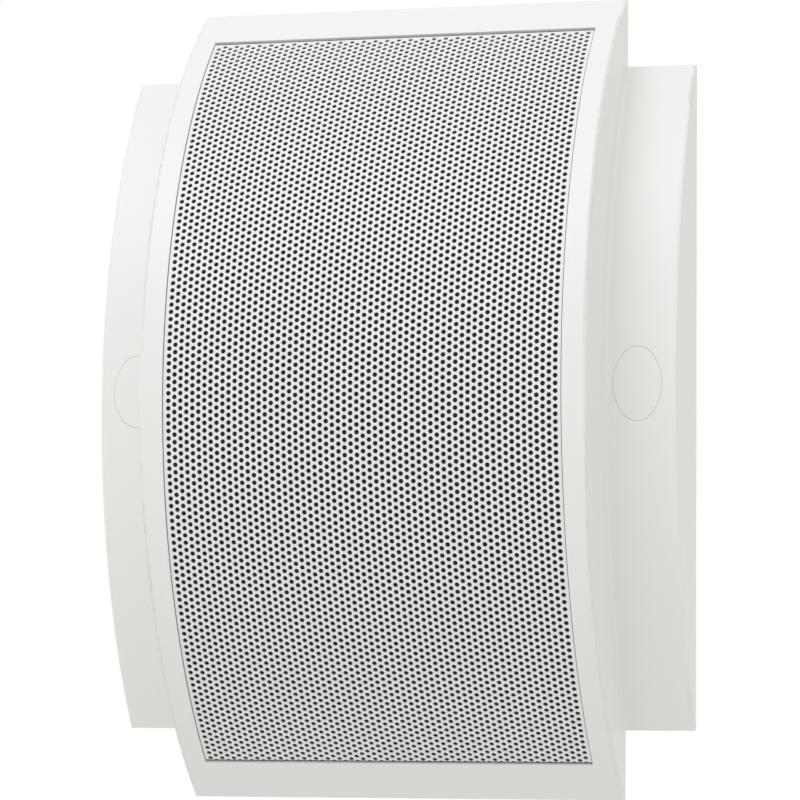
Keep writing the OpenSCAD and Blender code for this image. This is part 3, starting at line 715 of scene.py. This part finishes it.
# %% Punch and roll the grille
HOLE_WIDTH = 1.66 * MM
HOLE_SIDES = 10
ROW_STEP = 2.5 * MM
COLUMN_STEP = 2.076 * MM
COLUMN_DOUBLINGS = 5
ROW_DOUBLINGS = 7
ROW_SHIFT = 0.8 * MM
SHEET = 0.4 * MM
GRILLE_RECESS = 0.4 * MM
SIDE_GAP = 0.3 * MM
TOP_GAP = 1.3 * MM
BOTTOM_GAP = 1.0 * MM
PLAIN_STRIP = 0.8 * MM
WELD = 0.01 * MM

sheet_radius = front_radius - GRILLE_RECESS
inward = sheet_radius / front_radius
sheet_top = opening_top * inward - TOP_GAP
sheet_bottom = opening_bottom * inward + BOTTOM_GAP
sheet_side = FRONT_WIDTH / 2 - SIDE_BAND - SIDE_GAP


def punched_cell(bm):
    """A plate one step high and one column wide, with a hole in its middle."""
    bmesh.ops.create_circle(bm, cap_ends=False, segments=HOLE_SIDES, radius=HOLE_WIDTH / 2)
    half_w, half_h = COLUMN_STEP / 2, ROW_STEP / 2
    right = [(half_w, half_h), (half_w, 0), (half_w, -half_h)]
    left = [(-half_w, -half_h), (-half_w, 0), (-half_w, half_h)]
    corners = [bm.verts.new((x, y, 0)) for x, y in right + left]
    for one, two in zip(corners, corners[1:] + corners[:1]):
        bm.edges.new((one, two))
    bmesh.ops.bridge_loops(bm, edges=bm.edges[:])


def double(bm, across, along):
    """Copies the whole pattern and moves the copy."""
    copies = bmesh.ops.duplicate(bm, geom=everything(bm))["geom"]
    bmesh.ops.translate(bm, verts=points_of(copies), vec=(across, along, 0))


def close_holes(bm, start, from_height):
    """Closes the holes whose middles lie above a line, for the plain strip along the top."""
    rims = []
    for edge in bm.edges:
        middle = (edge.verts[0].co + edge.verts[1].co) / 2
        column = round((middle.x - start[0]) / COLUMN_STEP)
        first_row = start[1] + column % 2 * ROW_STEP / 2
        row = round((middle.y - first_row) / ROW_STEP)
        hole = Vector((start[0] + column * COLUMN_STEP, first_row + row * ROW_STEP, 0))
        if edge.is_boundary and hole.y > from_height and (middle - hole).length < HOLE_WIDTH / 2:
            rims.append(edge)
    bmesh.ops.holes_fill(bm, edges=rims, sides=HOLE_SIDES)


def trim(bm, place, way):
    """Cuts the sheet at a plane, and clears what lies beyond it."""
    bmesh.ops.bisect_plane(
        bm, geom=everything(bm), dist=WELD, plane_co=place, plane_no=way, clear_outer=True
    )


def grille_half(name, first_column):
    """Half of the grille, from its first column at the left."""
    bm = bmesh.new()
    punched_cell(bm)
    for k in range(ROW_DOUBLINGS):
        double(bm, 0, ROW_STEP * 2**k)
    double(bm, COLUMN_STEP, ROW_STEP / 2)
    for k in range(1, COLUMN_DOUBLINGS):
        double(bm, COLUMN_STEP * 2**k, 0)
    rows = 2**ROW_DOUBLINGS
    start = (first_column * COLUMN_STEP, ROW_SHIFT - rows // 2 * ROW_STEP, 0)
    bmesh.ops.translate(bm, verts=bm.verts, vec=start)
    bmesh.ops.remove_doubles(bm, verts=bm.verts, dist=WELD)
    close_holes(bm, start, sheet_top - PLAIN_STRIP)
    trim(bm, (0, sheet_top, 0), (0, 1, 0))
    trim(bm, (0, sheet_bottom, 0), (0, -1, 0))
    outer = 1 if first_column > 0 else -1
    edge_x = outer * COLUMN_STEP * 2**COLUMN_DOUBLINGS
    side_edges = [e for e in bm.edges if all(abs(v.co.x - edge_x) < WELD for v in e.verts)]
    margin = bmesh.ops.extrude_edge_only(bm, edges=side_edges)["geom"]
    for point in points_of(margin):
        point.co.x = outer * sheet_side
    bmesh.ops.recalc_face_normals(bm, faces=bm.faces)
    bm.normal_update()
    if bm.faces[:][0].normal.z < 0:
        bmesh.ops.reverse_faces(bm, faces=bm.faces)
    front = bm.faces[:]
    back = bmesh.ops.extrude_face_region(bm, geom=front, use_keep_orig=True)["geom"]
    bmesh.ops.translate(bm, verts=points_of(back), vec=(0, 0, -SHEET))
    bmesh.ops.recalc_face_normals(bm, faces=bm.faces)
    roll_up(bm, sheet_radius)
    return finish_piece(bm, name, grille_paint, ["grille"], sharp=40)


columns = 2**COLUMN_DOUBLINGS
grille_half("grille_left_half", 0.5 - columns)
grille_half("grille_right_half", 0.5)
sheet_length = round((sheet_top - sheet_bottom) / MM, 1)
print("the sheet is", round(2 * sheet_side / MM, 1), "x", sheet_length, "mm along its curve")

# %% [markdown]
# ## The cloth behind the grille
# A thin black cloth is glued inside the sheet, so the driver doesn't show through the holes. It is one flat
# rectangle, held stretched over the same curve. Its own map carries the weave. It reaches almost to the
# edges of the opening, so the gaps round the sheet show it black: the cloth is real, and there it also
# stands in as painted shade for those gaps.

# %% Stretch the cloth
CLOTH = 0.3 * MM
CLOTH_GAP = 0.05 * MM
CLOTH_DEPTH = 0.85 * MM

# The cloth stops only CLOTH_GAP short of the opening, so the gaps round the sheet show it black, partly as
# painted shade.
cloth_side = FRONT_WIDTH / 2 - SIDE_BAND - CLOTH_GAP
cloth_half = (opening_top - opening_bottom) * inward / 2 - CLOTH_GAP
cloth_middle = (opening_top + opening_bottom) * inward / 2
bm = bmesh.new()
bmesh.ops.create_grid(bm, x_segments=24, y_segments=96, size=1)
cloth_map = bm.loops.layers.uv.new("weave")
for point in bm.verts:
    point.co = (point.co.x * cloth_side, point.co.y * cloth_half + cloth_middle, 0)
for face in bm.faces:
    for corner in face.loops:
        corner[cloth_map].uv = corner.vert.co.xy
bmesh.ops.solidify(bm, geom=bm.faces[:], thickness=CLOTH)
lowest = min(v.co.z for v in bm.verts)
bmesh.ops.translate(bm, verts=bm.verts, vec=(0, 0, -CLOTH_DEPTH - lowest))
bmesh.ops.recalc_face_normals(bm, faces=bm.faces)
roll_up(bm, sheet_radius)
cloth = finish_piece(bm, "cloth", cloth_weave, ["grille_cloth"])
2 * cloth_half
print("the cloth is cut to", round(2 * cloth_side / MM, 1), "x", round(2 * cloth_half / MM, 1), "mm")

# %% [markdown]
# ## Turned rings
# Rings and rolls are turned shapes. Each is half a profile, as points of radius and height in
# millimetres, that spin takes a full turn round Z. Driver rings then tip forward, so that their
# height points out from the wall. A skin is an open line whose copy, moved back by the skin's
# thickness, closes the profile.

# %% Define how a profile is spun
SPIN_STEPS = 96


def arc(centre, radius, start, end, steps=10):
    """Points on an arc, from one angle to another in degrees."""
    angles = [math.radians(start + (end - start) * k / steps) for k in range(steps + 1)]
    return [(centre[0] + radius * math.cos(a), centre[1] + radius * math.sin(a)) for a in angles]


def skin(line, thickness):
    """Closes an open line into the profile of a skin that lies behind it."""
    behind = []
    for k, (away, height) in enumerate(line):
        way = Vector(line[min(k + 1, len(line) - 1)]) - Vector(line[max(k - 1, 0)])
        way.normalize()
        behind.append((away + way.y * thickness, height - way.x * thickness))
    return line + behind[::-1]


def spun(profile, place):
    """Spins a closed profile a full turn round Z, and then puts it in its place."""
    bm = bmesh.new()
    points = [bm.verts.new((away * MM, 0, height * MM)) for away, height in profile]
    edges = [bm.edges.new(pair) for pair in zip(points, points[1:] + points[:1])]
    bmesh.ops.spin(
        bm, geom=points + edges, cent=(0, 0, 0), axis=(0, 0, 1),
        angle=2 * math.pi, steps=SPIN_STEPS, use_merge=True,
    )
    bmesh.ops.recalc_face_normals(bm, faces=bm.faces)
    bmesh.ops.transform(bm, matrix=place, verts=bm.verts)
    return bm


FORWARD = Matrix.Rotation(math.radians(90), 4, "X")
BACKWARD = Matrix.Rotation(math.radians(-90), 4, "X")
print("a turned ring has", SPIN_STEPS, "steps")

# %% [markdown]
# ## Gasket and grommet
# The gasket is a die-cut foam ring that seals the driver to the front. Its corners are a little
# crushed. The grommet is a moulded rubber ring with a groove that grips the edge of a hole, so the
# wires that pass through it don't chafe.

# %% Spin the gasket and the grommet
GASKET = [(57, 50), (65, 50), (65, 50.8), (64.8, 51), (57.2, 51), (57, 50.8)]
GROMMET = [
    (3.0, -1.5), (3.3, -1.8), (5.0, -1.8), (5.35, -1.65), (5.5, -1.3), (5.5, -0.3),
    (5.3, 0), (3.95, 0), (3.95, 2.0), (5.3, 2.0), (5.5, 2.3), (5.5, 3.3), (5.35, 3.65),
    (5.0, 3.8), (3.3, 3.8), (3.0, 3.5),
]
GROMMET_PLACE = Vector((0, -9.5, -75)) * MM

gasket = finish_piece(spun(GASKET, FORWARD), "foam_gasket", foam, ["driver_gasket"])
grommet = spun(GROMMET, Matrix.Translation(GROMMET_PLACE))
finish_piece(grommet, "rubber_grommet", black_rubber, ["lead_grommet"])

# %% [markdown]
# ## Surround and centring disc
# Two springs hold the cone. The surround is a moulded half roll of rubber round its edge, and the
# disc is a corrugated ring of stiff cloth behind it. Both are one skin that bends when the cone
# moves: their inner lips go with the cone, their outer lips stay, and the part between shares the
# travel. The share grows smoothly with the distance from the axis, so it is set point by point.

# %% Spin the two springs and let them flex
SKIN = 0.5
ROLL = [
    (45.6, 49.2), (48.4, 49.2), (48.4, 50.7),
    *arc((51.5, 52.2), 3.1, 180, 9.3, 20),
    (57, 52.7),
]
WAVES = [
    (10.4, 32.7), (11.65, 32.7),
    *arc((13.4, 32.45), 1.75, 180, 360), *arc((17.4, 32.45), 2.25, 180, 0),
    *arc((21.4, 32.45), 1.75, 180, 360), *arc((25.4, 32.45), 2.25, 180, 0),
    (27.9, 31.7), (32, 31.7),
]


def flex(piece, inner, outer):
    """Shares the cone's travel over a ring, from all at one radius to none at another."""
    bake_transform(piece, "cone_assembly", "housing", start=(inner * MM, 0, 0), end=(outer * MM, 0, 0))
    shares = piece.data.attributes["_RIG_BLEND"].data
    for point, share in zip(piece.data.vertices, shares):
        away = math.hypot(point.co.x, point.co.z) / MM
        part = min(max((away - inner) / (outer - inner), 0), 1)
        share.value = part * part * (3 - 2 * part)


roll = spun(skin(ROLL, SKIN), FORWARD)
roll = finish_piece(roll, "rubber_roll", black_rubber, ["cone_surround"], body=None)
flex(roll, 48.4, 54.6)
disc = spun(skin(WAVES, SKIN), FORWARD)
disc = finish_piece(disc, "centring_disc", disc_cloth, ["spider"], body=None)
flex(disc, 11.4, 27.4)

# %% [markdown]
# ## Wires
# Each wire is soft copper in PVC, soldered or clamped at both ends and laid by hand, so it runs in
# easy bends. A curve with automatic handles through the points of its route gives that. The route
# is written as on the bench, with the back down: across, up, and out from the wall.

# %% Draw the wires
WIRE = 1.8
TINSEL = 1.0
BRAID_STEP = 0.45 * MM
LOW = 4.05
RED_ROUTE = [
    (9, 79.65, 4.2), (9, 74, 4.2), (15, 68, 4.1), (32, 66, LOW), (46, 62, LOW), (52, 52, LOW),
    (53, 20, LOW), (53, -20, LOW), (51, -50, LOW), (41, -64, 5), (22, -67, 8), (7, -67.5, 9.5),
    (1.6, -70, 9.5), (1.25, -74, 9.5), (1.25, -77, 9.5), (5, -83, 11), (5, -88, 11),
]
BLACK_ROUTE = [
    (5, 79.65, 4.2), (5, 72, 4.2), (12, 64, 4.1), (30, 62, LOW), (42, 58, LOW), (47, 48, LOW),
    (48, 20, LOW), (48, -20, LOW), (46, -46, LOW), (37, -58, 5), (20, -61, 8), (4, -61.5, 9.5),
    (-1, -66, 9.5), (-1.25, -74, 9.5), (-1.25, -77, 9.5), (-5, -83, 11), (-5, -88, 11),
]
TAG_ROUTE = [
    (5.5, 79.65, 24), (5.5, 73.8, 25), (5.5, 64.3, 36.1), (5.5, 58, 34.7), (5.5, 54, 34.1),
]
TINSEL_ROUTE = [
    (5.5, 27, 40.04), (6.5, 31, 37.54), (6.5, 36, 37.04), (5.5, 41, 34.7), (5.5, 45, 33.7),
]


def wire(bm, route, width):
    """Adds a round wire along a smooth line through the points of its route."""
    line = bpy.data.curves.new("route", "CURVE")
    line.dimensions = "3D"
    line.bevel_depth = width * MM / 2
    line.bevel_resolution = 3
    line.resolution_u = 6
    line.use_fill_caps = True
    spline = line.splines.new("BEZIER")
    spline.bezier_points.add(len(route) - 1)
    for knot, (across, up, out) in zip(spline.bezier_points, route):
        knot.co = Vector((across, -out, up)) * MM
        knot.handle_left_type = knot.handle_right_type = "AUTO"
    carrier = bpy.data.objects.new("route", line)
    scene.collection.objects.link(carrier)
    evaluated = carrier.evaluated_get(bpy.context.evaluated_depsgraph_get())
    bm.from_mesh(evaluated.to_mesh())
    bpy.data.objects.remove(carrier)


def mirrored(route):
    """The same route on the other side."""
    return [(-across, up, out) for across, up, out in route]


def wires(name, routes, width, material, node, body="housing"):
    """A piece of one or more wires."""
    bm = bmesh.new()
    for route in routes:
        wire(bm, route, width)
    bmesh.ops.remove_doubles(bm, verts=bm.verts, dist=WELD / 10)
    bmesh.ops.recalc_face_normals(bm, faces=bm.faces)
    return finish_piece(bm, name, material, [node], body=body)


def tinsel_braid():
    """Copper strands braided round a textile core."""
    material, shader, draw = new_finish("tinsel_braid")
    place = draw.node("TexCoord", out="Object")
    across, _, up = place.axes()
    turns = 2 * math.pi / BRAID_STEP
    strands = ((up + across) * turns).sin() * ((up - across) * turns).sin()
    return settle(
        material,
        shader,
        Base_Color=(strands * 0.5 + 0.5).blend((0.36, 0.15, 0.06), (0.80, 0.42, 0.22)),
        Metallic=0.8,
        Roughness=0.42 - strands * 0.1,
        Normal=strands.bump(0.05 * MM),
    )


wires("lead_red", [RED_ROUTE], WIRE, red_insulation, "line_lead_red")
wires("lead_black", [BLACK_ROUTE], WIRE, black_insulation, "line_lead_black")
pair = [TAG_ROUTE, mirrored(TAG_ROUTE)]
wires("tag_leads", pair, WIRE, black_insulation, "driver_leads")
pair = [TINSEL_ROUTE, mirrored(TINSEL_ROUTE)]
braids = wires("tinsel_braids", pair, TINSEL, tinsel_braid(), "tinsel_leads", body=None)
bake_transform(braids, "cone_assembly", "housing", start=(0, 0, 29 * MM), end=(0, 0, 43 * MM))

# %% [markdown]
# ## Screws
# A screw here is one circle, extruded again and again. Each new ring gets a height and a radius
# that may change with the angle. The recess is a ring with the outline of a cross, and the thread
# is a radius that rises and falls with the angle and the height together, which makes a true
# helix. Zinc-plated screws with a cross recess hold every part of this speaker.

# %% Make the screws
SCREW_SIDES = 48
THREAD_STEP = 1.3
RINGS_A_TURN = 6
CORE = 1.15
RIDGE = 1.44
ARM = 1.5
ARM_HALF = 0.32
RECESS = 1.1
SCREW_CIRCLE = 60.75
FLANGE_TOP = 52.2
POST_ACROSS = 67.5
POST_HEIGHTS = (-118, -78, 78, 118)
PAN_HEAD = [(2.1, 2.2), (2.7, 1.98), (3.05, 1.5), (3.1, 1.3), (3.1, 0)]
FLUSH_HEAD = [(2.98, 0), (3.07, -0.06), (3.05, -0.14), (1.44, -1.75)]


def cross(angle, scale):
    """How far the outline of a cross is from its middle at an angle."""
    short, long = sorted((abs(math.cos(angle)), abs(math.sin(angle))))
    return scale * min(ARM / long, ARM_HALF / max(short, 1e-6))


def helix(angle, height, length):
    """The radius of the thread, which runs out to a point at the tip."""
    turn = (height / THREAD_STEP + angle / (2 * math.pi)) % 1
    radius = CORE + (RIDGE - CORE) * (1 - abs(2 * turn - 1))
    return radius * min(1, 0.2 + (height + length) / 2)


def screw(head, length):
    """A screw that looks along Z, with the seat of its head at the height 0."""
    top = head[0][1]
    rings = [
        (lambda angle: cross(angle, 0.55), top - RECESS),
        (lambda angle: cross(angle, 1), top),
    ]
    rings += [(lambda angle, radius=radius: radius, height) for radius, height in head]
    low = head[-1][1] - 0.3
    while low > -length:
        rings.append((lambda angle, low=low: helix(angle, low, length), low))
        low -= THREAD_STEP / RINGS_A_TURN
    rings.append((lambda angle: 0.2, -length))
    bm = bmesh.new()
    points = bmesh.ops.create_circle(bm, cap_ends=True, segments=SCREW_SIDES, radius=MM)["verts"]
    rim = bm.edges[:]
    for number, (radius_at, height) in enumerate(rings):
        if number:
            grown = bmesh.ops.extrude_edge_only(bm, edges=rim)["geom"]
            points = set(points_of(grown))
            rim = [edge for edge in bm.edges if points.issuperset(edge.verts)]
        for point in points:
            angle = math.atan2(point.co.y, point.co.x)
            radius = radius_at(angle)
            point.co = Vector((radius * math.cos(angle), radius * math.sin(angle), height)) * MM
    bmesh.ops.holes_fill(bm, edges=rim, sides=SCREW_SIDES)
    bmesh.ops.recalc_face_normals(bm, faces=bm.faces)
    return bm


def screws(name, head, length, way, places):
    """A piece of like screws, at places written as across, up and out from the wall."""
    bm = screw(head, length)
    first = everything(bm)
    for across, up, out in places:
        copy = bmesh.ops.duplicate(bm, geom=first)["geom"]
        place = Matrix.Translation(Vector((across, -out, up)) * MM) @ way
        bmesh.ops.transform(bm, matrix=place, verts=points_of(copy))
    bmesh.ops.delete(bm, geom=points_of(first), context="VERTS")
    finish_piece(bm, name + "_threaded", zinc_plate, [name])


diagonal = SCREW_CIRCLE * math.sqrt(0.5)
driver_places = [(x, z, FLANGE_TOP) for x in (-diagonal, diagonal) for z in (-diagonal, diagonal)]
rear_places = [(x, z, 0) for x in (-POST_ACROSS, POST_ACROSS) for z in POST_HEIGHTS]
screws("driver_screws", PAN_HEAD, 10, FORWARD, driver_places)
screws("rear_screws", FLUSH_HEAD, 12, BACKWARD, rear_places)
screws("block_screws", PAN_HEAD, 7, BACKWARD, [(-15.5, -92, 13), (15.5, -92, 13)])
screws("transformer_screws", PAN_HEAD, 5, FORWARD, [(-26.5, 90, 8), (26.5, 90, 8)])

# %% [markdown]
